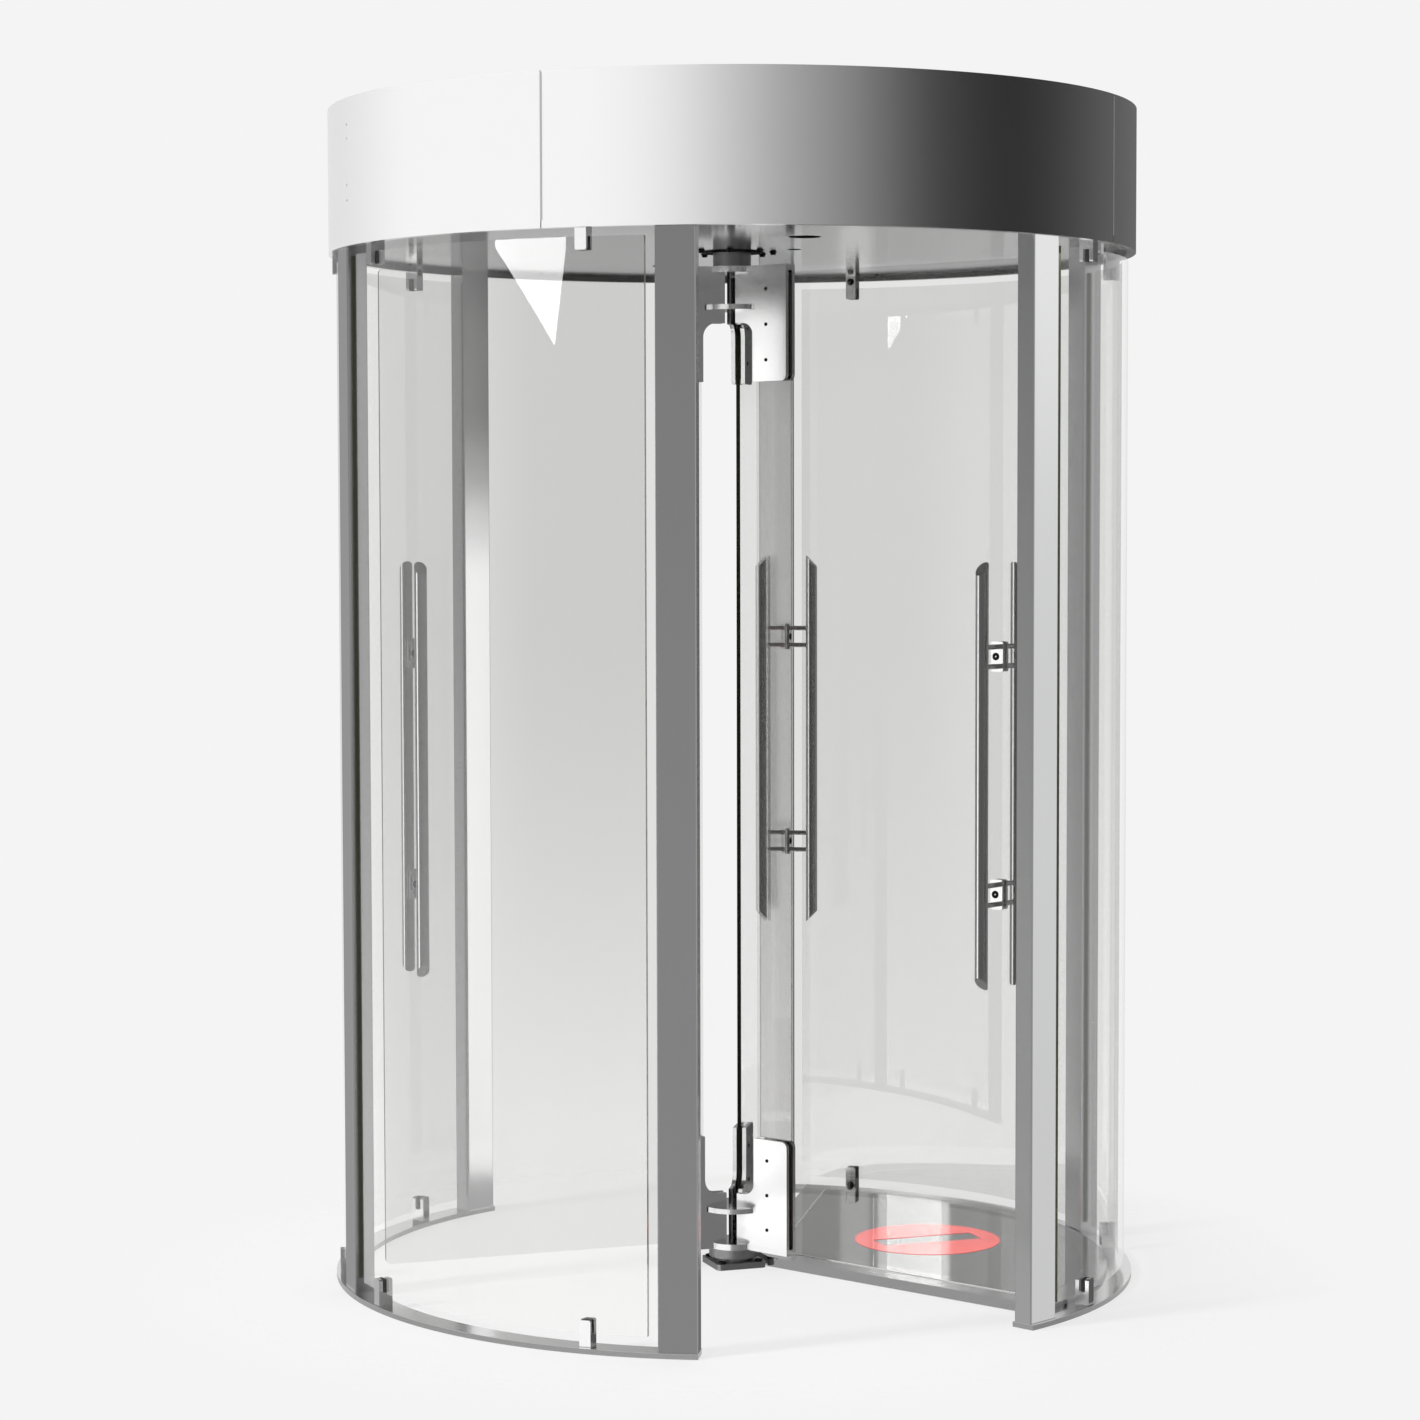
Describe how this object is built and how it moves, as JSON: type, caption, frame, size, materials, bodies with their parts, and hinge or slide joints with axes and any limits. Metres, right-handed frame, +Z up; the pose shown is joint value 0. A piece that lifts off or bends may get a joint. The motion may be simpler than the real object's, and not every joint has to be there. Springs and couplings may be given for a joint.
{
  "type": "full-height turnstile",
  "caption": "Glass full-height turnstile: a three-wing rotor with pull bars turns between curved glass walls on steel posts, under a round steel canopy.",
  "frame": {"origin": "on the rotor's axis at floor level, the middle of the bottom of the whole turnstile", "axes": "+Z up along the rotor's axis, +X towards the wall beside the raised platform, -Y out of the front opening"},
  "size_m": [1.6, 1.6, 2.31],
  "materials": {
    "wall_glass": "clear, polished edges, faint green tint",
    "wing_glass": "clear, polished edges, faint green tint",
    "gasket_rubber": "matt black",
    "canopy_steel": "fine horizontal brushing",
    "soffit_steel": "fine brushing",
    "post_steel": "fine vertical brushing",
    "clip_steel": "satin",
    "ring_steel": "satin",
    "platform_border_steel": "satin",
    "platform_panel_steel": "satin",
    "bar_steel": "satin",
    "hub_steel": "satin",
    "housing_paint": "satin black"
  },
  "bodies": {
    "frame": {"floor_ring_left": "ring_steel", "floor_ring_right": "ring_steel", "post_front_left": "post_steel", "post_side_left": "post_steel", "post_rear_left": "post_steel", "post_front_right": "post_steel", "post_side_right": "post_steel", "post_rear_right": "post_steel", "wall_glass_front_left": "wall_glass", "wall_glass_rear_left": "wall_glass", "wall_glass_front_right": "wall_glass", "wall_glass_rear_right": "wall_glass", "bottom_clips_left": "clip_steel", "bottom_clips_right": "clip_steel", "top_clips_left": "clip_steel", "top_clips_right": "clip_steel", "canopy_panel_front": "canopy_steel", "canopy_panel_right": "canopy_steel", "canopy_panel_rear": "canopy_steel", "canopy_panel_left": "canopy_steel", "canopy_soffit": "soffit_steel", "canopy_roof": "canopy_steel", "head_beam": "housing_paint", "head_bearing": "housing_paint", "downlights": "housing_paint", "platform_base": "platform_border_steel", "platform_panel": "platform_panel_steel", "foot_bearing": "hub_steel"},
    "rotor": {"head_shaft": "hub_steel", "star_top": "hub_steel", "star_bottom": "hub_steel", "foot_shaft": "hub_steel", "gusset_top": "hub_steel", "gusset_bottom": "hub_steel", "clamp_plates_top": "hub_steel", "clamp_plates_bottom": "hub_steel", "gaskets": "gasket_rubber", "wing_glass_1": "wing_glass", "wing_glass_2": "wing_glass", "wing_glass_3": "wing_glass", "pull_bars_1": "bar_steel", "pull_bars_2": "bar_steel", "pull_bars_3": "bar_steel", "bar_clamps_1": "bar_steel", "bar_clamps_2": "bar_steel", "bar_clamps_3": "bar_steel"}
  },
  "joints": [
    {"name": "rotor_spin", "type": "hinge", "parent": "frame", "child": "rotor", "pos_m": [0, 0, 0], "axis": [0, 0, 1], "continuous": true}
  ]
}
